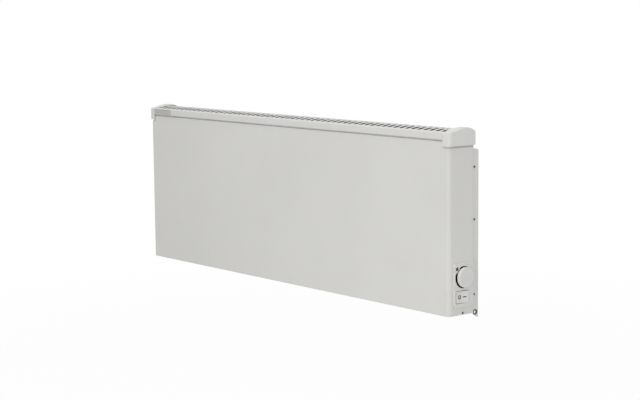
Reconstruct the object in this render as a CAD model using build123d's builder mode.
from build123d import *
import os
from math import cos, radians, sin, sqrt, tan

# Wall panel convector heater. Millimetres, +Z up, the front faces -Y and the wall is the plane Y = 0.
# The origin is the middle of the wall bracket's rear face, at half the heater's width.

# ---- Casing ----
casing_w = 1000.0  # across the two sides
casing_d = 65.0  # front face to the casing's rear edge
side_h = 319.5  # bottom edge to the folded edge below each cap
front_rise = 12.5  # front's folded edge, below the rail, above the sides' edges
casing_t = 1.2  # sheet
corner_r = 7.5  # front vertical corners, outside
neck_in = 4.0  # how far the neck stands back behind the shadow gap
bottom_flange = 14.0  # inward fold along the bottom
rear_return = 12.0  # inward fold along the rear edges
rear_screw_rows = 5
wall_space = 15.0  # casing's rear edge to the wall
bracket_drop = 84.5  # sides' folded edges to the middle of the wall bracket

# ---- Rail, grille and caps ----
rail_gap = 2.6  # shadow gap below the rail
rail_face_h = 13.7
rail_proud = 2.0  # rail stands in front of the casing
grille_t = 1.0
grille_bend_r = 1.8
grille_rear_fold = 14.0
slot_pitch = 17.0
slot_w = 10.0
slot_corner_r = 2.0
slot_front_y = 6.5  # front face to the front row's near end
slot_row_len = 24.0
slot_rib = 5.0  # stiffening rib between the two rows
cap_w = 18.0  # cap's width on the front
cap_side_proud = 3.0
cap_rear_y = 68.0
cap_gap = 3.0  # shadow gap below each cap
cap_brow_drop = 1.8  # rail's upper edge to the cap's front edge
cap_shoulder_drop = 0.3
# The cap's crown: distance behind the front face and rise above the rail's upper edge.
crown_shape = [(0.5, 0.7), (14.7, 2.6), (24.3, 5.3), (36.4, 7.6), (49.0, 7.6), (58.5, 5.1)]
cap_wall = 2.0
cap_lip = 7.0  # thin lip that covers the grille's end
cap_lip_t = 1.1
cap_lip_sink = 0.2  # the lip's step below the crown
cap_edge_r = 1.6
cap_fit = 0.3
badge_w = 65.0
badge_h = 12.4
badge_t = 0.8
badge_from_cap = 3.0

# ---- Rear panel, spacer frame and wall bracket ----
panel_t = 1.0
panel_z0 = 3.0
panel_rise = 8.0  # panel's top above the front's folded edge
panel_inset = 1.5  # panel's edge stands in from the casing's side
strip_t = 1.0
strip_inset = 2.0
strip_drop = 5.5  # sides' folded edges to the strip's top
strip_foot = 9.0  # strip's foot below the casing's bottom edge
strip_slant = 6.0  # rise of the foot's slanted edge
strip_top_r = 5.0
strip_wall_gap = 0.3
tab_h = 22.0
tab_d = 8.5
frame_screw_z0 = 36.0  # lowest side screw above the casing's bottom edge
frame_screw_z1 = 180.0
frame_screw_drop = 39.5  # sides' folded edges to the top side screw
frame_screw_y = 3.5  # casing's rear edge to the side screws
screw_r = 1.5
screw_head_r = 2.2
screw_head_t = 1.0
screw_len = 6.0
rail_len = 560.0
rail_h = 40.0
rail_t = 2.0
hook_in = 80.0  # hook's middle from the rail's end
hook_w = 32.0
hook_lip = 10.0
hook_gap = 1.1  # each side of the rear panel in the hook's throat
hook_seat = 0.2
lift_off = 12.0
wall_hole_in = 40.0  # hole from the rail's end
wall_hole_z = 24.0
wall_hole_r = 2.75
grommet_z = 1.2  # grommet's middle above the casing's bottom edge
grommet_r = 5.2
grommet_bore_r = 3.0
grommet_neck_r = 4.3
grommet_flange = 1.1

# ---- Bottom grille ----
inlet_t = 1.0
inlet_tab = 9.0
inlet_slot_w = 9.0
inlet_slot_len = 16.0
inlet_row_gap = 5.0
foot_screw_y = 36.9  # front face to the screw at the side's bottom edge
foot_screw_z = 3.9

# ---- Control panel ----
bezel_front_y = 11.2  # front face to the bezel's front edge
bezel_w = 50.4
bezel_z0 = 17.5
bezel_h = 83.0
bezel_proud = 4.0
bezel_face_t = 2.4
bezel_corner_r = 5.0
bezel_edge_r = 1.8
bezel_overlap = 1.6  # flange beyond the casing's cut-out
bezel_skirt = 9.0  # depth of the skirt behind the casing's side
bezel_skirt_t = 1.0
knob_y = 36.4
knob_z = 73.5
knob_r = 19.5
knob_stand = 12.0  # face beyond the casing's side
knob_rim_gap = 1.6  # rim of the cup beyond the bezel's face
knob_wall = 2.0
knob_edge_r = 1.0
knob_gap = 2.5
knob_hub_r = 5.0
knob_hub_len = 17.0  # from the knob's face to the hub's end
knob_mark_w = 1.2
knob_mark_len = 6.0
knob_mark_depth = 0.5
spindle_r = 3.0
spindle_flat = 1.5
spindle_fit = 0.05
lamp_y = 18.8
lamp_z = 90.2
lamp_hole_r = 3.6
lamp_boss_r = 7.5
lamp_boss_gap = 0.6
lens_r = 3.2
lens_sink = 0.9
lamp_len = 16.0
rocker_y = 31.2
rocker_z = 36.0
rocker_w = 31.8
rocker_h = 23.6
rocker_tilt = 14.0
rocker_pivot = 1.0  # pivot behind the casing's side
rocker_face = 4.4  # pressed half beyond the casing's side
rocker_gap = 0.4
rocker_axle_r = 1.5
rocker_axle_len = 1.2
axle_fit = 0.05
mark_depth = 0.3
mark_r = 2.6
mark_t = 0.9
mark_y = 5.6
housing_wall = 0.8
housing_depth = 21.0
housing_room = 7.5
rocker_drop = 2.7
tab_w = 6.3
tab_t = 0.8
tab_len = 9.0

# ---- Inside ----
carrier_back = 14.8  # carrier behind the casing's side
carrier_t = 1.0
carrier_z0 = 14.0
carrier_z1 = 108.0
carrier_foot = 14.0
stat_r = 15.5
stat_depth = 20.0
stat_neck_r = 4.5
partition_in = 100.0  # control compartment's width
partition_t = 1.0
partition_foot = 12.0
partition_front_gap = 2.5
shield_front = 8.0  # front face to the heat shield
shield_t = 0.8
shield_z0 = 40.0
shield_drop = 19.5  # sides' folded edges to the shield's top
shield_in = 14.0  # shield's far end from the casing's side
shield_gap = 8.0  # shield to partition
shield_foot = 12.0
tube_r = 4.0
tube_y = 38.0
tube_z0 = 62.0
tube_z1 = 102.0
tube_bend_in = 48.0  # bend's start from the casing's side
tube_end_out = 15.0  # tube's ends beyond the partition
fin_pitch = 11.0
fin_t = 0.6
fin_d = 42.0
fin_h = 74.0
fin_gap = 26.0  # last fin to the partition
fin_end = 40.0  # fins' run short of the bend
bush_r = 7.0
bush_flange_r = 9.5
bush_flange_t = 3.0
bracket_t = 1.2
bracket_foot = 14.0
end_bracket_in = 62.0  # bracket from the casing's side
pin_r = 1.6
pin_len = 8.0
cutout_in = 200.0  # cut-out to the partition
cutout_z = 200.0
cutout_r = 8.0
cutout_t = 9.0
cutout_stand = 22.0
block_out = 46.0  # terminal block's middle beyond the partition
block_z = 150.0
block_w = 36.0
block_h = 20.0
block_d = 17.0
block_ways = 3
earth_in = 22.0  # stud from the casing's side
earth_z = 196.0
earth_r = 2.0
sensor_y = 45.0
sensor_z = 15.0
sensor_r = 3.0
sensor_len = 84.0
sensor_gap = 24.0  # bulb's end to the partition
capillary_r = 1.0
capillary_bend = 10.0
clip_w = 8.0
wire_r = 1.2
wire_bend = 6.0
hole_fit = 0.1

# Planes and levels that the pieces share.
casing_h = side_h + front_rise
bracket_h = side_h - bracket_drop
rail_z0 = casing_h + rail_gap
rail_z1 = rail_z0 + rail_face_h
cap_z0 = side_h + cap_gap
cap_front_z = rail_z1 - cap_brow_drop
cap_shoulder_z = rail_z1 - cap_shoulder_drop
cap_crown = [(y, rail_z1 + rise) for y, rise in crown_shape]
panel_z1 = casing_h + panel_rise
strip_z1 = side_h - strip_drop
shield_z1 = side_h - shield_drop
frame_screw_zs = (frame_screw_z0, frame_screw_z1, side_h - frame_screw_drop)
x_side = casing_w / 2
slot_count = 2 * int((x_side - cap_w) / slot_pitch) + 1
partition_x = x_side - partition_in
shield_x0 = x_side - shield_in
shield_x1 = partition_x - shield_gap
tube_bend_x = x_side - tube_bend_in
tube_end_x = partition_x + tube_end_out
fin_last_x = partition_x - fin_gap
fin_count = int((tube_bend_x + fin_last_x - fin_end) / fin_pitch) + 1
end_bracket_x = x_side - end_bracket_in
cutout_x = partition_x - cutout_in
block_x = partition_x + block_out
earth_x = x_side - earth_in
sensor_x = partition_x - sensor_gap
hook_x = rail_len / 2 - hook_in
wall_hole_x = rail_len / 2 - wall_hole_in
y_rear = -wall_space
y_front = y_rear - casing_d
z_base = -bracket_h
z_side = z_base + side_h
y_panel = y_rear + panel_t
x_neck = x_side - neck_in
x_cap = x_side - (cap_w - cap_side_proud)
x_panel = x_side - panel_inset
x_strip = x_side - strip_inset
z_neck = z_base + rail_z1 - grille_t - cap_fit

os.makedirs("parts", exist_ok=True)


def plan(half_width, front, back, radius):
    """A plan outline whose two front corners are rounded."""
    with BuildSketch() as outline:
        with Locations((0, (front + back) / 2)):
            Rectangle(2 * half_width, back - front)
        fillet(outline.vertices().group_by(Axis.Y)[0], radius)
    return outline.sketch


def between(low, high):
    """The middle and the length of a span."""
    return (low + high) / 2, high - low


# ---- Front casing: one folded sheet, a front and two sides, with a recessed neck under the rail ----
casing_plan = plan(x_side, y_front, y_rear, corner_r)
casing_inner = plan(x_side - casing_t, y_front + casing_t, y_rear, corner_r - casing_t)
neck_plan = plan(x_neck, y_front + neck_in, y_rear, corner_r - neck_in)
neck_inner = plan(x_neck - casing_t, y_front + neck_in + casing_t, y_rear, corner_r - neck_in - casing_t)
cutout_y0 = y_front + bezel_front_y + bezel_overlap
cutout_y1 = y_front + bezel_front_y + bezel_w - bezel_overlap
cutout_z0 = z_base + bezel_z0 + bezel_overlap
cutout_z1 = z_base + bezel_z0 + bezel_h - bezel_overlap
cutout_mid_y, cutout_w = between(cutout_y0, cutout_y1)
cutout_mid_z, cutout_h = between(cutout_z0, cutout_z1)
panel_mid, panel_h = between(z_base + panel_z0, z_base + panel_z1)
rear_screw_x = x_side - casing_t - rear_return / 2
rear_screw_zs = [z_base + side_h * k / rear_screw_rows for k in range(1, rear_screw_rows)]
rear_screw_spots = [(s * rear_screw_x, z) for s in (-1, 1) for z in rear_screw_zs]
neck_top = z_base + cap_shoulder_z - cap_wall - cap_fit
foot_screw_spots = [(s * x_side, y_front + foot_screw_y, z_base + foot_screw_z) for s in (-1, 1)]

with BuildPart() as front_casing:
    with BuildSketch(Plane.XY.offset(z_base)):
        add(casing_plan)
    extrude(amount=side_h)
    with BuildSketch(Plane.XY.offset(z_side)):
        with Locations((0, (y_front + y_rear) / 2)):
            Rectangle(2 * x_cap, casing_d)
    extrude(amount=casing_h - side_h)
    with BuildSketch(Plane.XY.offset(z_side)):
        add(neck_plan)
    extrude(amount=z_neck - z_side)
    with BuildSketch(Plane.XY.offset(z_base + casing_t)):
        add(casing_inner)
    extrude(amount=side_h - 2 * casing_t, mode=Mode.SUBTRACT)
    with BuildSketch(Plane.XY.offset(z_side - casing_t)):
        with Locations((0, (y_front + casing_t + y_rear) / 2)):
            Rectangle(2 * (x_cap - casing_t), casing_d - casing_t)
    extrude(amount=casing_h - side_h, mode=Mode.SUBTRACT)
    with BuildSketch(Plane.XY.offset(z_side - casing_t)):
        add(neck_inner)
    extrude(amount=z_neck - z_side + casing_t, mode=Mode.SUBTRACT)
    with BuildSketch(Plane.XY.offset(z_base)):
        with Locations((0, (y_front + bottom_flange + y_rear) / 2)):
            Rectangle(2 * (x_side - rear_return), casing_d - bottom_flange)
    extrude(amount=casing_t, mode=Mode.SUBTRACT)
    for side in (-1, 1):
        with Locations((side * (x_cap + cap_w / 2), (y_front + y_rear) / 2, neck_top + rail_proud)):
            Box(cap_w, casing_d, 2 * rail_proud, mode=Mode.SUBTRACT)
    return_mid, return_len = between(z_base, z_side - casing_t)
    for side in (-1, 1):
        with Locations((side * (x_side - casing_t - rear_return / 2), y_rear - casing_t / 2, return_mid)):
            Box(rear_return, casing_t, return_len)
    with BuildSketch(Plane.YZ.offset(x_side - casing_t)):
        with Locations((cutout_mid_y, cutout_mid_z)):
            RectangleRounded(cutout_w, cutout_h, bezel_corner_r - bezel_overlap)
    extrude(amount=casing_t, mode=Mode.SUBTRACT)
    for spot in foot_screw_spots:
        with Locations(spot):
            Cylinder(screw_r + hole_fit, 4 * casing_t, rotation=(0, 90, 0), mode=Mode.SUBTRACT)
    for x, z in rear_screw_spots:
        with Locations((x, y_rear - casing_t / 2, z)):
            Cylinder(screw_r + hole_fit, 4 * casing_t, rotation=(90, 0, 0), mode=Mode.SUBTRACT)
front_casing.part.label = "front_casing"
export_step(front_casing.part, "parts/front_casing.step")

# ---- Top grille: a folded sheet whose front edge is the rail, with two rows of slots ----
grille_drop = cap_lip_sink + cap_lip_t + cap_fit + grille_t / 2
rail_mid = y_front - rail_proud + grille_t / 2
grille_rear = y_rear - cap_fit - grille_t / 2
grille_path = [
    (rail_mid, z_base + rail_z0),
    (rail_mid, z_base + rail_z1 - grille_t / 2),
    *[(y_front + y, z_base + z - grille_drop) for y, z in cap_crown[1:]],
    (grille_rear, z_base + rail_z1 - grille_t),
    (grille_rear, z_base + rail_z1 - grille_rear_fold),
]
x_grille = x_cap - cap_fit
slot_rows = [
    y_front + slot_front_y + slot_row_len / 2,
    y_front + slot_front_y + slot_row_len + slot_rib + slot_row_len / 2,
]

with BuildPart() as top_grille:
    with BuildSketch(Plane.YZ.offset(-x_grille)):
        with BuildLine():
            FilletPolyline(*grille_path, radius=grille_bend_r)
        trace(line_width=grille_t)
    extrude(amount=2 * x_grille)
    with BuildSketch(Plane.XY.offset(z_base + rail_z1 - grille_rear_fold / 2)):
        for row in slot_rows:
            with Locations((0, row)):
                with GridLocations(slot_pitch, 1, slot_count, 1):
                    RectangleRounded(slot_w, slot_row_len, slot_corner_r)
    extrude(amount=2 * grille_rear_fold, mode=Mode.SUBTRACT)
top_grille.part.label = "top_grille"
export_step(top_grille.part, "parts/top_grille.step")


# ---- End caps: hollow mouldings with an S-curved front slope, a hump and a rounded rear shoulder ----
def cap_solid(inset):
    """The right-hand cap's outer shape, or its hollow when drawn in by a wall."""
    front = y_front - rail_proud + inset
    rear = y_front + cap_rear_y - inset
    low = z_base + cap_z0
    brow = z_base + cap_front_z - inset
    shoulder = z_base + cap_shoulder_z - inset
    crown = [(y_front + y, z_base + z - inset) for y, z in cap_crown]
    with BuildPart() as shape:
        with BuildSketch(Plane.YZ.offset(x_cap)):
            with BuildLine():
                Polyline((rear, shoulder), (rear, low), (front, low), (front, brow), crown[0])
                Spline(*crown)
                Line(crown[-1], (rear, shoulder))
            make_face()
        extrude(amount=cap_w - inset)
        with BuildSketch(Plane.XY.offset(low)):
            add(plan(x_side + cap_side_proud - inset, front, rear, corner_r - inset))
        extrude(amount=2 * (cap_front_z - cap_z0), mode=Mode.INTERSECT)
    return shape.part


cap_blank = cap_solid(0.0)
cap_hollow = cap_solid(cap_wall)
cap_under = [(y_front + y, z_base + z - cap_lip_sink - cap_lip_t / 2) for y, z in cap_crown[1:-1]]

with BuildPart() as end_cap_right:
    add(cap_blank)
    cap_end = end_cap_right.faces().filter_by(Axis.X).sort_by(Axis.X)[-1]
    fillet(cap_end.edges().filter_by(lambda e: e.center().Z > z_base + rail_z0), cap_edge_r)
    add(cap_hollow, mode=Mode.SUBTRACT)
    with BuildSketch(Plane.YZ.offset(x_cap - cap_lip)):
        with BuildLine():
            Spline(*cap_under)
        trace(line_width=cap_lip_t)
    extrude(amount=cap_lip + cap_wall)
end_cap_right.part.label = "end_cap_right"
export_step(end_cap_right.part, "parts/end_cap_right.step")

with BuildPart() as end_cap_left:
    add(end_cap_right.part)
    mirror(about=Plane.YZ, mode=Mode.REPLACE)
end_cap_left.part.label = "end_cap_left"
export_step(end_cap_left.part, "parts/end_cap_left.step")

# ---- Badge plate: the blank place at the rail's upper left ----
badge_x = -x_cap + badge_from_cap + badge_w / 2
with BuildPart() as badge_plate:
    with BuildSketch(Plane.XZ.offset(rail_proud - y_front)):
        with Locations((badge_x, z_base + (rail_z0 + rail_z1) / 2)):
            RectangleRounded(badge_w, badge_h, badge_t)
    extrude(amount=badge_t)
badge_plate.part.label = "badge_plate"
export_step(badge_plate.part, "parts/badge_plate.step")

# ---- Rear panel: a flat sheet with hook slots, a cable hole and side tabs for the spacer frame ----
hook_top = rail_h / 2
slot_top = hook_top + hook_seat
slot_h = lift_off + rail_t + hook_lip - hook_seat
tab_x = x_strip - strip_t
frame_tabs = [(s, z_base + z) for s in (-1, 1) for z in frame_screw_zs]
frame_screw_line = y_rear + frame_screw_y
cable_x = x_side - bezel_w / 2
cable_z = z_base + bezel_z0 + bezel_h + 4 * grommet_r

with BuildPart() as rear_panel:
    with Locations((0, y_rear + panel_t / 2, panel_mid)):
        Box(2 * x_panel, panel_t, panel_h)
    for s, z in frame_tabs:
        with Locations((s * (tab_x - panel_t / 2), y_rear + tab_d / 2, z)):
            Box(panel_t, tab_d, tab_h)
        with Locations((s * tab_x, frame_screw_line, z)):
            Cylinder(screw_r + hole_fit, 4 * panel_t, rotation=(0, 90, 0), mode=Mode.SUBTRACT)
    for s in (-1, 1):
        with Locations((s * hook_x, y_rear + panel_t / 2, slot_top - slot_h / 2)):
            Box(hook_w + 2 * hook_gap, 4 * panel_t, slot_h, mode=Mode.SUBTRACT)
    with Locations((cable_x, y_rear, cable_z)):
        Cylinder(grommet_neck_r, 4 * panel_t, rotation=(90, 0, 0), mode=Mode.SUBTRACT)
    for x, z in rear_screw_spots:
        with Locations((x, y_rear, z)):
            Cylinder(screw_r + hole_fit, 4 * panel_t, rotation=(90, 0, 0), mode=Mode.SUBTRACT)
rear_panel.part.label = "rear_panel"
export_step(rear_panel.part, "parts/rear_panel.step")

# ---- Spacer frame: two strips that hold the casing off the wall, joined by a web along the top ----
strip_z0 = z_base - strip_foot
strip_back = -strip_wall_gap
grommet_line = y_panel + cap_fit + grommet_r
grommet_level = z_base + grommet_z
strip_top = z_base + strip_z1
strip_shape = [
    (y_panel, strip_top),
    (strip_back, strip_top),
    (strip_back, strip_z0),
    (strip_back - strip_top_r / 2, strip_z0),
    (y_panel, strip_z0 + strip_slant),
]

with BuildPart() as spacer_frame:
    with BuildSketch(Plane.YZ.offset(-x_strip)) as strip_side:
        with BuildLine():
            Polyline(*strip_shape, close=True)
        make_face()
        fillet(strip_side.vertices().group_by(Axis.Y)[-1].sort_by(Axis.X)[-1], strip_top_r)
    extrude(amount=2 * x_strip)
    with BuildSketch(Plane.XY.offset(strip_z0)):
        with Locations((0, (y_panel + strip_back) / 2)):
            Rectangle(2 * (x_strip - strip_t), strip_back - y_panel)
    extrude(amount=strip_foot + strip_z1 - strip_t, mode=Mode.SUBTRACT)
    for s, z in frame_tabs:
        with Locations((s * x_strip, frame_screw_line, z)):
            Cylinder(screw_r + hole_fit, 4 * strip_t, rotation=(0, 90, 0), mode=Mode.SUBTRACT)
    with Locations((x_strip, grommet_line, grommet_level)):
        Cylinder(grommet_neck_r, 4 * strip_t, rotation=(0, 90, 0), mode=Mode.SUBTRACT)
spacer_frame.part.label = "spacer_frame"
export_step(spacer_frame.part, "parts/spacer_frame.step")

# ---- Cable grommets: a black rubber ring in the strip's foot, and the same ring in the rear panel ----
grommet_len = strip_t + 2 * grommet_flange
with BuildPart() as cable_grommet:
    with Locations((x_strip - strip_t / 2, grommet_line, grommet_level)):
        Cylinder(grommet_neck_r, strip_t, rotation=(0, 90, 0))
        with Locations((strip_t / 2 + grommet_flange / 2, 0, 0), (-strip_t / 2 - grommet_flange / 2, 0, 0)):
            Cylinder(grommet_r, grommet_flange, rotation=(0, 90, 0))
        Cylinder(grommet_bore_r, 2 * grommet_len, rotation=(0, 90, 0), mode=Mode.SUBTRACT)
cable_grommet.part.label = "cable_grommet"
export_step(cable_grommet.part, "parts/cable_grommet.step")

with BuildPart() as panel_grommet:
    with Locations((cable_x, y_rear + panel_t / 2, cable_z)):
        Cylinder(grommet_neck_r, panel_t, rotation=(90, 0, 0))
        with Locations((0, panel_t / 2 + grommet_flange / 2, 0), (0, -panel_t / 2 - grommet_flange / 2, 0)):
            Cylinder(grommet_r, grommet_flange, rotation=(90, 0, 0))
        Cylinder(grommet_bore_r, 2 * grommet_len, rotation=(90, 0, 0), mode=Mode.SUBTRACT)
panel_grommet.part.label = "panel_grommet"
export_step(panel_grommet.part, "parts/panel_grommet.step")

# ---- Frame screws: three a side, through the strip into the rear panel's tabs ----
with BuildPart() as frame_screws:
    for s, z in frame_tabs:
        with Locations((s * (x_strip + screw_head_t / 2), frame_screw_line, z)):
            Cylinder(screw_head_r, screw_head_t, rotation=(0, 90, 0))
        with Locations((s * (x_strip - screw_len / 2), frame_screw_line, z)):
            Cylinder(screw_r, screw_len, rotation=(0, 90, 0))
frame_screws.part.label = "frame_screws"
export_step(frame_screws.part, "parts/frame_screws.step")

# ---- Rear screws: four a side, from behind through the rear panel into the casing's returns ----
with BuildPart() as rear_screws:
    for x, z in rear_screw_spots:
        with Locations((x, y_panel + screw_head_t / 2, z)):
            Cylinder(screw_head_r, screw_head_t, rotation=(90, 0, 0))
        with Locations((x, y_panel - screw_len / 2, z)):
            Cylinder(screw_r, screw_len, rotation=(90, 0, 0))
rear_screws.part.label = "rear_screws"
export_step(rear_screws.part, "parts/rear_screws.step")

# ---- Wall bracket: a steel rail with two up-turned hooks that stand through the rear panel's slots ----
hook_front = y_rear - hook_gap - rail_t
with BuildPart() as wall_bracket:
    with Locations((0, -rail_t / 2, 0)):
        Box(rail_len, rail_t, rail_h)
    for s in (-1, 1):
        with Locations((s * hook_x, hook_front / 2, hook_top - rail_t / 2)):
            Box(hook_w, -hook_front, rail_t)
        with Locations((s * hook_x, hook_front + rail_t / 2, hook_top + hook_lip / 2)):
            Box(hook_w, rail_t, hook_lip)
    with GridLocations(2 * wall_hole_x, 1, 2, 1):
        with Locations((0, 0, wall_hole_z / 2), (0, 0, -wall_hole_z / 2)):
            Cylinder(wall_hole_r, 4 * rail_t, rotation=(90, 0, 0), mode=Mode.SUBTRACT)
wall_bracket.part.label = "wall_bracket"
export_step(wall_bracket.part, "parts/wall_bracket.step")

# ---- Bottom grille: the air inlet, a slotted plate with end tabs, lying on the casing's bottom fold ----
inlet_z0 = z_base + casing_t
x_inlet = x_side - casing_t - cap_fit
inlet_y0 = y_front + casing_t + cap_fit
inlet_y1 = y_rear - casing_t - cap_fit
inlet_mid = (inlet_y0 + inlet_y1) / 2
inlet_rows = [inlet_mid + s * (inlet_slot_len + inlet_row_gap) / 2 for s in (-1, 1)]
inlet_plan = plan(x_inlet, inlet_y0, inlet_y1, corner_r - casing_t)
with BuildPart() as bottom_grille:
    with BuildSketch(Plane.XY.offset(inlet_z0)):
        add(inlet_plan)
    extrude(amount=inlet_t)
    for s in (-1, 1):
        with Locations((s * (x_inlet - inlet_t / 2), y_front + foot_screw_y, inlet_z0 + inlet_tab / 2)):
            Box(inlet_t, inlet_tab * 2, inlet_tab)
    with BuildSketch(Plane.XY.offset(inlet_z0)):
        for row in inlet_rows:
            with Locations((0, row)):
                with GridLocations(slot_pitch, 1, slot_count - 2, 1):
                    RectangleRounded(inlet_slot_w, inlet_slot_len, slot_corner_r)
    extrude(amount=inlet_t, mode=Mode.SUBTRACT)
    for spot in foot_screw_spots:
        with Locations(spot):
            Cylinder(screw_r + hole_fit, 8 * casing_t, rotation=(0, 90, 0), mode=Mode.SUBTRACT)
bottom_grille.part.label = "bottom_grille"
export_step(bottom_grille.part, "parts/bottom_grille.step")

# ---- Foot screws: one a side, at the sides' bottom edges, into the bottom grille's tabs ----
with BuildPart() as foot_screws:
    for x, y, z in foot_screw_spots:
        out = 1 if x > 0 else -1
        with Locations((x + out * screw_head_t / 2, y, z)):
            Cylinder(screw_head_r, screw_head_t, rotation=(0, 90, 0))
        with Locations((x - out * screw_len / 2, y, z)):
            Cylinder(screw_r, screw_len, rotation=(0, 90, 0))
foot_screws.part.label = "foot_screws"
export_step(foot_screws.part, "parts/foot_screws.step")

# ---- Control bezel: a raised moulded panel round the knob, the lamp's boss and the switch's window ----
bezel_mid_y = y_front + bezel_front_y + bezel_w / 2
bezel_mid_z = z_base + bezel_z0 + bezel_h / 2
knob_line = (y_front + knob_y, z_base + knob_z)
lamp_line = (y_front + lamp_y, z_base + lamp_z)
rocker_line = (y_front + rocker_y, z_base + rocker_z)
x_face = x_side + bezel_proud
x_floor = x_face - bezel_face_t
skirt_w = bezel_w - 2 * bezel_overlap - 2 * hole_fit
skirt_h = bezel_h - 2 * bezel_overlap - 2 * hole_fit
window_w = rocker_w + 2 * rocker_gap
window_h = rocker_h + 2 * rocker_gap
with BuildPart() as control_bezel:
    with BuildSketch(Plane.YZ.offset(x_side)):
        with Locations((bezel_mid_y, bezel_mid_z)):
            RectangleRounded(bezel_w, bezel_h, bezel_corner_r)
    extrude(amount=bezel_proud)
    fillet(control_bezel.faces().sort_by(Axis.X)[-1].edges(), bezel_edge_r)
    with BuildSketch(Plane.YZ.offset(x_side - bezel_skirt)):
        with Locations((bezel_mid_y, bezel_mid_z)):
            RectangleRounded(skirt_w, skirt_h, bezel_corner_r - bezel_overlap)
    extrude(amount=bezel_skirt)
    with BuildSketch(Plane.YZ.offset(x_side - bezel_skirt)):
        with Locations((bezel_mid_y, bezel_mid_z)):
            Rectangle(skirt_w - 2 * bezel_skirt_t, skirt_h - 2 * bezel_skirt_t)
    extrude(amount=bezel_skirt + bezel_proud - bezel_face_t, mode=Mode.SUBTRACT)
    with BuildSketch(Plane.YZ.offset(x_side - bezel_skirt)):
        with Locations(knob_line):
            Circle(knob_r + knob_gap)
    extrude(amount=bezel_skirt + bezel_proud, mode=Mode.SUBTRACT)
    with BuildSketch(Plane.YZ.offset(x_side)):
        with Locations(lamp_line):
            Circle(lamp_boss_r)
        with Locations(knob_line):
            Circle(knob_r + lamp_boss_gap, mode=Mode.SUBTRACT)
        with Locations((bezel_mid_y, bezel_mid_z)):
            Rectangle(bezel_w - 2 * bezel_edge_r, bezel_h - 2 * bezel_edge_r, mode=Mode.INTERSECT)
    extrude(amount=bezel_proud)
    with BuildSketch(Plane.YZ.offset(x_side)):
        with Locations(lamp_line):
            Circle(lamp_hole_r)
        with Locations(rocker_line):
            RectangleRounded(window_w, window_h, rocker_gap)
    extrude(amount=bezel_proud, mode=Mode.SUBTRACT)
control_bezel.part.label = "control_bezel"
export_step(control_bezel.part, "parts/control_bezel.step")

# ---- Thermostat knob: a shallow cup on a long hub, with a short index notch in its face ----
knob_face = x_side + knob_stand
knob_rim = x_side + bezel_proud + knob_rim_gap
hub_end = knob_face - knob_hub_len
with BuildPart() as thermostat_knob:
    with BuildSketch(Plane.YZ.offset(knob_rim)):
        with Locations(knob_line):
            Circle(knob_r)
    extrude(amount=knob_face - knob_rim)
    fillet(thermostat_knob.faces().sort_by(Axis.X)[-1].edges(), knob_edge_r)
    with BuildSketch(Plane.YZ.offset(knob_rim)):
        with Locations(knob_line):
            Circle(knob_r - knob_wall)
    extrude(amount=knob_face - knob_rim - knob_wall, mode=Mode.SUBTRACT)
    with BuildSketch(Plane.YZ.offset(hub_end)):
        with Locations(knob_line):
            Circle(knob_hub_r)
    extrude(amount=knob_hub_len - knob_wall)
    with BuildSketch(Plane.YZ.offset(hub_end)):
        with Locations(knob_line):
            Circle(spindle_r + spindle_fit)
    extrude(amount=knob_hub_len - 2 * knob_wall, mode=Mode.SUBTRACT)
    with BuildSketch(Plane.YZ.offset(knob_face - knob_mark_depth)):
        with Locations((knob_line[0], knob_line[1] + knob_r - knob_edge_r - knob_mark_len / 2)):
            Rectangle(knob_mark_w, knob_mark_len)
    extrude(amount=knob_mark_depth, mode=Mode.SUBTRACT)
thermostat_knob.part.label = "thermostat_knob"
export_step(thermostat_knob.part, "parts/thermostat_knob.step")

# ---- Knob spindle: the thermostat's shaft, with a flat, held in the knob's hub ----
x_carrier = x_side - carrier_back
x_stat = x_carrier - carrier_t
spindle_tip = knob_face - 2 * knob_wall - hole_fit
with BuildPart() as knob_spindle:
    with BuildSketch(Plane.YZ.offset(x_stat - stat_depth / 2)):
        with Locations(knob_line):
            Circle(spindle_r)
    extrude(amount=spindle_tip - x_stat + stat_depth / 2)
    with BuildSketch(Plane.YZ.offset(hub_end)):
        with Locations((knob_line[0], knob_line[1] + spindle_r)):
            Rectangle(2 * spindle_r, 2 * spindle_flat)
    extrude(amount=spindle_tip - hub_end, mode=Mode.SUBTRACT)
knob_spindle.part.label = "knob_spindle"
export_step(knob_spindle.part, "parts/knob_spindle.step")

# ---- Control carrier: a steel plate behind the bezel, folded to the rear panel, for the thermostat ----
carrier_path = [
    (x_carrier - carrier_t / 2, y_front + corner_r),
    (x_carrier - carrier_t / 2, y_rear - carrier_t / 2),
    (x_carrier - carrier_foot, y_rear - carrier_t / 2),
]
housing_opening = 2 * housing_wall + 2 * hole_fit
with BuildPart() as control_carrier:
    with BuildSketch(Plane.XY.offset(z_base + carrier_z0)):
        with BuildLine():
            FilletPolyline(*carrier_path, radius=grille_bend_r)
        trace(line_width=carrier_t)
    extrude(amount=carrier_z1 - carrier_z0)
    with BuildSketch(Plane.YZ.offset(x_carrier - carrier_t)):
        with Locations(knob_line):
            Circle(stat_neck_r + hole_fit)
        with Locations(rocker_line):
            Rectangle(window_w + housing_opening, window_h + housing_opening)
        with Locations(lamp_line):
            Circle(lens_r + hole_fit)
    extrude(amount=carrier_t, mode=Mode.SUBTRACT)
control_carrier.part.label = "control_carrier"
export_step(control_carrier.part, "parts/control_carrier.step")

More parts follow.
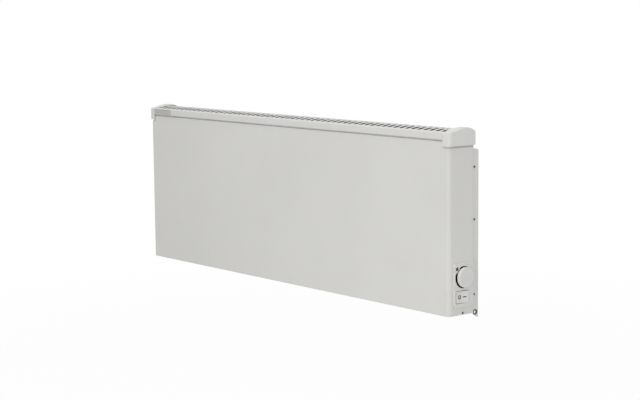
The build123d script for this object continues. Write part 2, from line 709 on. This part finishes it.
# ---- Thermostat body: a round case behind the carrier with a threaded neck around the spindle ----
with BuildPart() as thermostat_body:
    with BuildSketch(Plane.YZ.offset(x_stat - stat_depth)):
        with Locations(knob_line):
            Circle(stat_r)
    extrude(amount=stat_depth)
    with BuildSketch(Plane.YZ.offset(x_stat)):
        with Locations(knob_line):
            Circle(stat_neck_r)
    extrude(amount=carrier_t + spindle_r)
    with BuildSketch(Plane.YZ.offset(x_stat - stat_depth / 2 - hole_fit)):
        with Locations(knob_line):
            Circle(spindle_r + spindle_fit)
    extrude(amount=stat_depth, mode=Mode.SUBTRACT)
    with Locations(
        (x_stat - stat_depth - tab_len / 2, knob_line[0] - tab_w, knob_line[1]),
        (x_stat - stat_depth - tab_len / 2, knob_line[0] + tab_w, knob_line[1]),
    ):
        Box(tab_len, tab_t, tab_w)
thermostat_body.part.label = "thermostat_body"
export_step(thermostat_body.part, "parts/thermostat_body.step")

# ---- Pilot lamp: a lens in the bezel's hole and a lamp tube behind it ----
lens_front = x_face - lens_sink
with BuildPart() as pilot_lens:
    with BuildSketch(Plane.YZ.offset(x_side)):
        with Locations(lamp_line):
            Circle(lens_r)
    extrude(amount=lens_front - x_side)
    fillet(pilot_lens.faces().sort_by(Axis.X)[-1].edges(), lens_sink)
pilot_lens.part.label = "pilot_lens"
export_step(pilot_lens.part, "parts/pilot_lens.step")

with BuildPart() as pilot_lamp:
    with BuildSketch(Plane.YZ.offset(x_side - lamp_len)):
        with Locations(lamp_line):
            Circle(lens_r)
    extrude(amount=lamp_len)
    with BuildSketch(Plane.YZ.offset(x_side - lamp_len - tab_len)):
        with Locations(lamp_line):
            with GridLocations(lens_r, 1, 2, 1):
                Circle(tab_t / 2)
    extrude(amount=tab_len)
pilot_lamp.part.label = "pilot_lamp"
export_step(pilot_lamp.part, "parts/pilot_lamp.step")

# ---- Rocker: two faces at an angle over one axle; at rest the front half, marked O, is pressed in ----
x_pivot = x_side - rocker_pivot
rocker_r = rocker_w / 2
press = rocker_face + rocker_pivot
tilt = radians(rocker_tilt)
end_reach = sqrt(rocker_r**2 - press**2)
low_reach = sqrt(rocker_r**2 - rocker_drop**2)
valley = (press, -press * tan(tilt / 2))
front_top = (press, -end_reach)
rear_top = (press * cos(tilt) + end_reach * sin(tilt), end_reach * cos(tilt) - press * sin(tilt))
rocker_edge = [(x_pivot + x, rocker_line[0] + y) for x, y in (front_top, valley, rear_top)]
rocker_foot = [(x_pivot - rocker_drop, rocker_line[0] + y) for y in (low_reach, -low_reach)]
rocker_ends = [(x_pivot, rocker_line[0] + y) for y in (rocker_r, -rocker_r)]
axle_len = rocker_h + 2 * rocker_gap + 2 * rocker_axle_len
mark_line = rocker_line[0] - mark_y
with BuildPart() as switch_rocker:
    with BuildSketch(Plane.XY.offset(rocker_line[1] - rocker_h / 2)):
        with BuildLine():
            Polyline(*rocker_edge)
            ThreePointArc(rocker_edge[2], rocker_ends[0], rocker_foot[0])
            Line(rocker_foot[0], rocker_foot[1])
            ThreePointArc(rocker_foot[1], rocker_ends[1], rocker_edge[0])
        make_face()
    extrude(amount=rocker_h)
    with Locations((x_pivot, rocker_line[0], rocker_line[1])):
        Cylinder(rocker_axle_r, axle_len)
    with BuildSketch(Plane.YZ.offset(x_pivot + press - mark_depth)):
        with Locations((mark_line, rocker_line[1])):
            Ellipse(mark_r - mark_t / 2, mark_r + mark_t / 2)
            Ellipse(mark_r - 1.5 * mark_t, mark_r - mark_t / 2, mode=Mode.SUBTRACT)
    extrude(amount=2 * mark_depth, mode=Mode.SUBTRACT)
    dash_plane = Plane(
        origin=(x_pivot + press * cos(tilt) + mark_y * sin(tilt), rocker_line[0] + mark_y, rocker_line[1]),
        x_dir=(sin(tilt), cos(tilt), 0),
        z_dir=(cos(tilt), -sin(tilt), 0),
    )
    with BuildSketch(dash_plane.offset(-2 * mark_depth)):
        Rectangle(2 * mark_r, mark_t)
    extrude(amount=4 * mark_depth, mode=Mode.SUBTRACT)
switch_rocker.part.label = "switch_rocker"
export_step(switch_rocker.part, "parts/switch_rocker.step")

# ---- Switch housing: an open box behind the window, with bearings for the rocker's axle ----
housing_w = window_w + 2 * housing_wall
housing_h = window_h + 2 * housing_wall
x_housing = x_side - housing_depth
with BuildPart() as switch_housing:
    with BuildSketch(Plane.YZ.offset(x_housing)):
        with Locations(rocker_line):
            Rectangle(housing_w, housing_h)
    extrude(amount=x_floor - x_housing)
    with BuildSketch(Plane.YZ.offset(x_pivot - housing_room)):
        with Locations(rocker_line):
            Rectangle(window_w, window_h)
    extrude(amount=x_floor - x_pivot + housing_room, mode=Mode.SUBTRACT)
    with Locations((x_pivot, rocker_line[0], rocker_line[1])):
        Cylinder(rocker_axle_r + axle_fit, 2 * housing_h, mode=Mode.SUBTRACT)
switch_housing.part.label = "switch_housing"
export_step(switch_housing.part, "parts/switch_housing.step")

# ---- Switch terminals: four spade tabs behind the housing ----
with BuildPart() as switch_terminals:
    with BuildSketch(Plane.YZ.offset(x_housing - tab_len)):
        with Locations(rocker_line):
            with GridLocations(2 * tab_w, 2 * tab_w, 2, 2):
                Rectangle(tab_t, tab_w)
    extrude(amount=tab_len)
switch_terminals.part.label = "switch_terminals"
export_step(switch_terminals.part, "parts/switch_terminals.step")

# ---- Control partition: a sheet that walls the control compartment off from the hot part ----
tube_line = y_front + tube_y
tube_levels = [z_base + tube_z0, z_base + tube_z1]
sensor_line = y_front + sensor_y
sensor_level = z_base + sensor_z
partition_z0 = inlet_z0 + inlet_t
wire_level = tube_levels[1] + 4 * bush_r
with BuildPart() as control_partition:
    with BuildSketch(Plane.XY.offset(partition_z0)):
        with BuildLine():
            Polyline(
                (partition_x + partition_t / 2, y_front + casing_t + partition_front_gap),
                (partition_x + partition_t / 2, y_rear - partition_t / 2),
                (partition_x + partition_t / 2 + partition_foot, y_rear - partition_t / 2),
            )
        trace(line_width=partition_t)
    extrude(amount=z_side - partition_z0)
    with BuildSketch(Plane.YZ.offset(partition_x)):
        with Locations([(tube_line, z) for z in tube_levels]):
            Circle(bush_r)
        with Locations((sensor_line, sensor_level)):
            Circle(2 * capillary_r)
        with Locations((tube_line, wire_level)):
            Circle(bush_r)
    extrude(amount=partition_t, mode=Mode.SUBTRACT)
control_partition.part.label = "control_partition"
export_step(control_partition.part, "parts/control_partition.step")

# ---- Heat shield: a channel open top and bottom that keeps the front panel cool ----
shield_mid_y = y_front + shield_front
shield_path = [
    (shield_foot - shield_x0, y_rear - shield_t / 2),
    (-shield_x0, y_rear - shield_t / 2),
    (-shield_x0, shield_mid_y),
    (shield_x1, shield_mid_y),
    (shield_x1, y_rear - shield_t / 2),
    (shield_x1 - shield_foot, y_rear - shield_t / 2),
]
with BuildPart() as heat_shield:
    with BuildSketch(Plane.XY.offset(z_base + shield_z0)):
        with BuildLine():
            FilletPolyline(*shield_path, radius=grille_bend_r)
        trace(line_width=shield_t)
    extrude(amount=shield_z1 - shield_z0)
    with BuildSketch(Plane.YZ.offset(shield_x1 - shield_t)):
        with Locations([(tube_line, z) for z in tube_levels]):
            Circle(bush_r)
        with Locations((tube_line, wire_level)):
            Circle(bush_r)
    extrude(amount=2 * shield_t, mode=Mode.SUBTRACT)
heat_shield.part.label = "heat_shield"
export_step(heat_shield.part, "parts/heat_shield.step")

# ---- Heating element: a hairpin sheathed tube ----
tube_mid = (tube_levels[0] + tube_levels[1]) / 2
tube_bend_r = (tube_z1 - tube_z0) / 2
with BuildPart() as heating_element:
    with BuildLine():
        Line((tube_end_x, tube_line, tube_levels[0]), (-tube_bend_x, tube_line, tube_levels[0]))
        ThreePointArc(
            (-tube_bend_x, tube_line, tube_levels[0]),
            (-tube_bend_x - tube_bend_r, tube_line, tube_mid),
            (-tube_bend_x, tube_line, tube_levels[1]),
        )
        Line((-tube_bend_x, tube_line, tube_levels[1]), (tube_end_x, tube_line, tube_levels[1]))
    with BuildSketch(Plane(origin=(tube_end_x, tube_line, tube_levels[0]), z_dir=(-1, 0, 0))):
        Circle(tube_r)
    sweep()
heating_element.part.label = "heating_element"
export_step(heating_element.part, "parts/heating_element.step")

# ---- Element fins: thin aluminium plates pressed onto both legs of the hairpin ----
fin_first_x = fin_last_x - (fin_count - 1) * fin_pitch
fin_xs = [fin_first_x + k * fin_pitch for k in range(fin_count)]
with BuildPart() as element_fins:
    with BuildSketch(Plane.YZ.offset(fin_first_x)):
        with Locations((tube_line, tube_mid)):
            RectangleRounded(fin_d, fin_h, tube_r)
        with Locations([(tube_line, z) for z in tube_levels]):
            Circle(tube_r, mode=Mode.SUBTRACT)
    one_fin = extrude(amount=fin_t)
    add([one_fin.moved(Location((x - fin_first_x, 0, 0))) for x in fin_xs[1:]])
element_fins.part.label = "element_fins"
export_step(element_fins.part, "parts/element_fins.step")

# ---- Element brackets: two upright plates with feet on the rear panel ----
mid_bracket_x = fin_xs[fin_count // 2] - fin_pitch / 2
with BuildPart() as element_brackets:
    for x in (-end_bracket_x, mid_bracket_x):
        with BuildSketch(Plane.XY.offset(tube_mid - fin_h / 2)):
            with BuildLine():
                Polyline(
                    (x + bracket_t / 2, tube_line - fin_d / 2),
                    (x + bracket_t / 2, y_rear - bracket_t / 2),
                    (x + bracket_t / 2 + fin_pitch / 3, y_rear - bracket_t / 2),
                )
            trace(line_width=bracket_t)
        extrude(amount=fin_h)
        with BuildSketch(Plane.YZ.offset(x)):
            with Locations([(tube_line, z) for z in tube_levels]):
                Circle(tube_r)
        extrude(amount=bracket_t, mode=Mode.SUBTRACT)
element_brackets.part.label = "element_brackets"
export_step(element_brackets.part, "parts/element_brackets.step")

# ---- Element bushes: flanged ceramic sleeves through the shield and the partition ----
bush_x0 = shield_x1 - shield_t - bush_flange_t
bush_x1 = partition_x + partition_t + bush_flange_t
with BuildPart() as element_bushes:
    with BuildSketch(Plane.YZ.offset(bush_x0)):
        with Locations([(tube_line, z) for z in tube_levels]):
            Circle(bush_r)
    extrude(amount=bush_x1 - bush_x0)
    with BuildSketch(Plane.YZ.offset(partition_x + partition_t)):
        with Locations([(tube_line, z) for z in tube_levels]):
            Circle(bush_flange_r)
    extrude(amount=bush_flange_t)
    with BuildSketch(Plane.YZ.offset(bush_x0)):
        with Locations([(tube_line, z) for z in tube_levels]):
            Circle(tube_r)
    extrude(amount=bush_x1 - bush_x0, mode=Mode.SUBTRACT)
element_bushes.part.label = "element_bushes"
export_step(element_bushes.part, "parts/element_bushes.step")

# ---- Element terminals: a pin and a spade tab on each end of the hairpin ----
with BuildPart() as element_terminals:
    with BuildSketch(Plane.YZ.offset(tube_end_x)):
        with Locations([(tube_line, z) for z in tube_levels]):
            Circle(pin_r)
    extrude(amount=pin_len)
    for z in tube_levels:
        with Locations((tube_end_x + pin_len + tab_len / 2, tube_line, z)):
            Box(tab_len, tab_t, tab_w)
element_terminals.part.label = "element_terminals"
export_step(element_terminals.part, "parts/element_terminals.step")

# ---- Thermal cut-out: a disc thermostat above the element, on a folded bracket ----
cutout_level = z_base + cutout_z
cutout_plate = y_rear - cutout_stand
with BuildPart() as cutout_bracket:
    with BuildSketch(Plane.XY.offset(cutout_level - cutout_r - bracket_t)):
        with BuildLine():
            Polyline(
                (cutout_x + cutout_r + bracket_foot, y_rear - bracket_t / 2),
                (cutout_x + cutout_r + bracket_t, y_rear - bracket_t / 2),
                (cutout_x + cutout_r + bracket_t, cutout_plate),
                (cutout_x - cutout_r - bracket_t, cutout_plate),
            )
        trace(line_width=bracket_t)
    extrude(amount=2 * (cutout_r + bracket_t))
cutout_bracket.part.label = "cutout_bracket"
export_step(cutout_bracket.part, "parts/cutout_bracket.step")

with BuildPart() as thermal_cutout:
    with Locations((cutout_x, cutout_plate - bracket_t / 2 - cutout_t / 2, cutout_level)):
        Cylinder(cutout_r, cutout_t, rotation=(90, 0, 0))
    for s in (-1, 1):
        tab_mid = cutout_plate - bracket_t / 2 - cutout_t - tab_len / 2
        with Locations((cutout_x + s * cutout_r / 2, tab_mid, cutout_level)):
            Box(tab_t, tab_len, tab_w)
thermal_cutout.part.label = "thermal_cutout"
export_step(thermal_cutout.part, "parts/thermal_cutout.step")

# ---- Terminal block and earth stud: on the rear panel in the control compartment ----
block_level = z_base + block_z
way = block_w / block_ways
block_face = y_rear - block_d
with BuildPart() as terminal_block:
    with Locations((block_x, y_rear - block_d / 2, block_level)):
        Box(block_w, block_d, block_h)
    with Locations((block_x, block_face, block_level)):
        with GridLocations(way, 1, block_ways, 1):
            for s in (-1, 1):
                with Locations((0, 0, s * block_h / 4)):
                    Cylinder(screw_head_r + hole_fit, block_d, rotation=(90, 0, 0), mode=Mode.SUBTRACT)
terminal_block.part.label = "terminal_block"
export_step(terminal_block.part, "parts/terminal_block.step")

with BuildPart() as terminal_screws:
    with Locations((block_x, block_face + block_d / 2 - screw_len / 2, block_level)):
        with GridLocations(way, 1, block_ways, 1):
            for s in (-1, 1):
                with Locations((0, 0, s * block_h / 4)):
                    Cylinder(screw_head_r, screw_len, rotation=(90, 0, 0))
terminal_screws.part.label = "terminal_screws"
export_step(terminal_screws.part, "parts/terminal_screws.step")

with BuildPart() as earth_stud:
    with Locations((earth_x, y_rear - screw_len, z_base + earth_z)):
        Cylinder(earth_r, 2 * screw_len, rotation=(90, 0, 0))
    with BuildSketch(Plane.XZ.offset(wall_space + earth_r)):
        with Locations((earth_x, z_base + earth_z)):
            RegularPolygon(2 * earth_r, 6)
    extrude(amount=screw_len / 2)
earth_stud.part.label = "earth_stud"
export_step(earth_stud.part, "parts/earth_stud.step")

# ---- Thermostat sensor: a capillary from the thermostat to a bulb over the air inlet ----
capillary_x = x_stat - stat_depth / 2
capillary_top = knob_line[1] - sqrt(stat_r**2 - (abs(sensor_line - knob_line[0]) - capillary_r) ** 2)
bulb_x0 = sensor_x - sensor_len
capillary_start = (capillary_x, sensor_line, capillary_top)
bend_start = (capillary_x, sensor_line, sensor_level + capillary_bend)
bend_end = (capillary_x - capillary_bend, sensor_line, sensor_level)
with BuildPart() as thermostat_sensor:
    with BuildLine():
        Line(capillary_start, bend_start)
        TangentArc(bend_start, bend_end, tangent=(0, 0, -1))
        Line(bend_end, (sensor_x, sensor_line, sensor_level))
    with BuildSketch(Plane(origin=capillary_start, z_dir=(0, 0, -1))):
        Circle(capillary_r)
    sweep()
    with BuildSketch(Plane.YZ.offset(bulb_x0)):
        with Locations((sensor_line, sensor_level)):
            Circle(sensor_r)
    extrude(amount=sensor_len)
thermostat_sensor.part.label = "thermostat_sensor"
export_step(thermostat_sensor.part, "parts/thermostat_sensor.step")

# ---- Sensor clips: two saddles that hold the bulb on the bottom grille ----
clip_base = inlet_z0 + inlet_t
clip_top = sensor_level + sensor_r + tab_t
with BuildPart() as sensor_clips:
    for x in (bulb_x0 + sensor_len / 4, bulb_x0 + 3 * sensor_len / 4):
        with Locations((x, sensor_line, (clip_base + clip_top) / 2)):
            Box(clip_w, 2 * (sensor_r + tab_t), clip_top - clip_base)
        with Locations((x, sensor_line, sensor_level)):
            Cylinder(sensor_r, 2 * clip_w, rotation=(0, 90, 0), mode=Mode.SUBTRACT)
sensor_clips.part.label = "sensor_clips"
export_step(sensor_clips.part, "parts/sensor_clips.step")

# ---- Wiring: insulated wires between the element, thermostat, switch, terminal block and earth stud ----
stat_tab_x = x_stat - stat_depth - tab_len
switch_tab_x = x_housing - tab_len
element_tab_x = tube_end_x + pin_len + tab_len
wire_column = (element_tab_x + stat_tab_x) / 2
block_mid_y = y_rear - block_d / 2
wire_routes = [
    [
        (element_tab_x, tube_line, tube_levels[1]),
        (wire_column, tube_line, tube_levels[1]),
        (block_x - way, block_mid_y, (tube_levels[1] + block_level) / 2),
        (block_x - way, block_mid_y, block_level - block_h / 2),
    ],
    [
        (element_tab_x, tube_line, tube_levels[0]),
        (wire_column, tube_line, tube_levels[0]),
        (wire_column, knob_line[0] - tab_w, knob_line[1]),
        (stat_tab_x, knob_line[0] - tab_w, knob_line[1]),
    ],
    [
        (stat_tab_x, knob_line[0] + tab_w, knob_line[1]),
        (wire_column + wire_bend, knob_line[0] + tab_w, knob_line[1]),
        (wire_column + wire_bend, rocker_line[0] + tab_w, rocker_line[1] + tab_w),
        (switch_tab_x, rocker_line[0] + tab_w, rocker_line[1] + tab_w),
    ],
    [
        (switch_tab_x, rocker_line[0] - tab_w, rocker_line[1] + tab_w),
        (block_x + way, rocker_line[0] - tab_w, rocker_line[1] + tab_w),
        (block_x + way, block_mid_y, rocker_line[1] + tab_w),
        (block_x + way, block_mid_y, block_level - block_h / 2),
    ],
    [
        (block_x + way, block_mid_y, block_level + block_h / 2),
        (block_x + way, block_mid_y, (block_level + z_base + earth_z) / 2),
        (earth_x, block_mid_y, (block_level + z_base + earth_z) / 2),
        (earth_x, block_mid_y, z_base + earth_z - earth_r),
    ],
]


def wire(route):
    """One insulated wire along a route, with rounded elbows."""
    with BuildPart() as run:
        with BuildLine():
            Polyline(*route)
        with BuildSketch(Plane(origin=route[0], z_dir=Vector(*route[1]) - Vector(*route[0]))):
            Circle(wire_r)
        sweep(transition=Transition.ROUND)
    return run.part


wires = [wire(route) for route in wire_routes]
with BuildPart() as wiring:
    add(wires)
wiring.part.label = "wiring"
export_step(wiring.part, "parts/wiring.step")
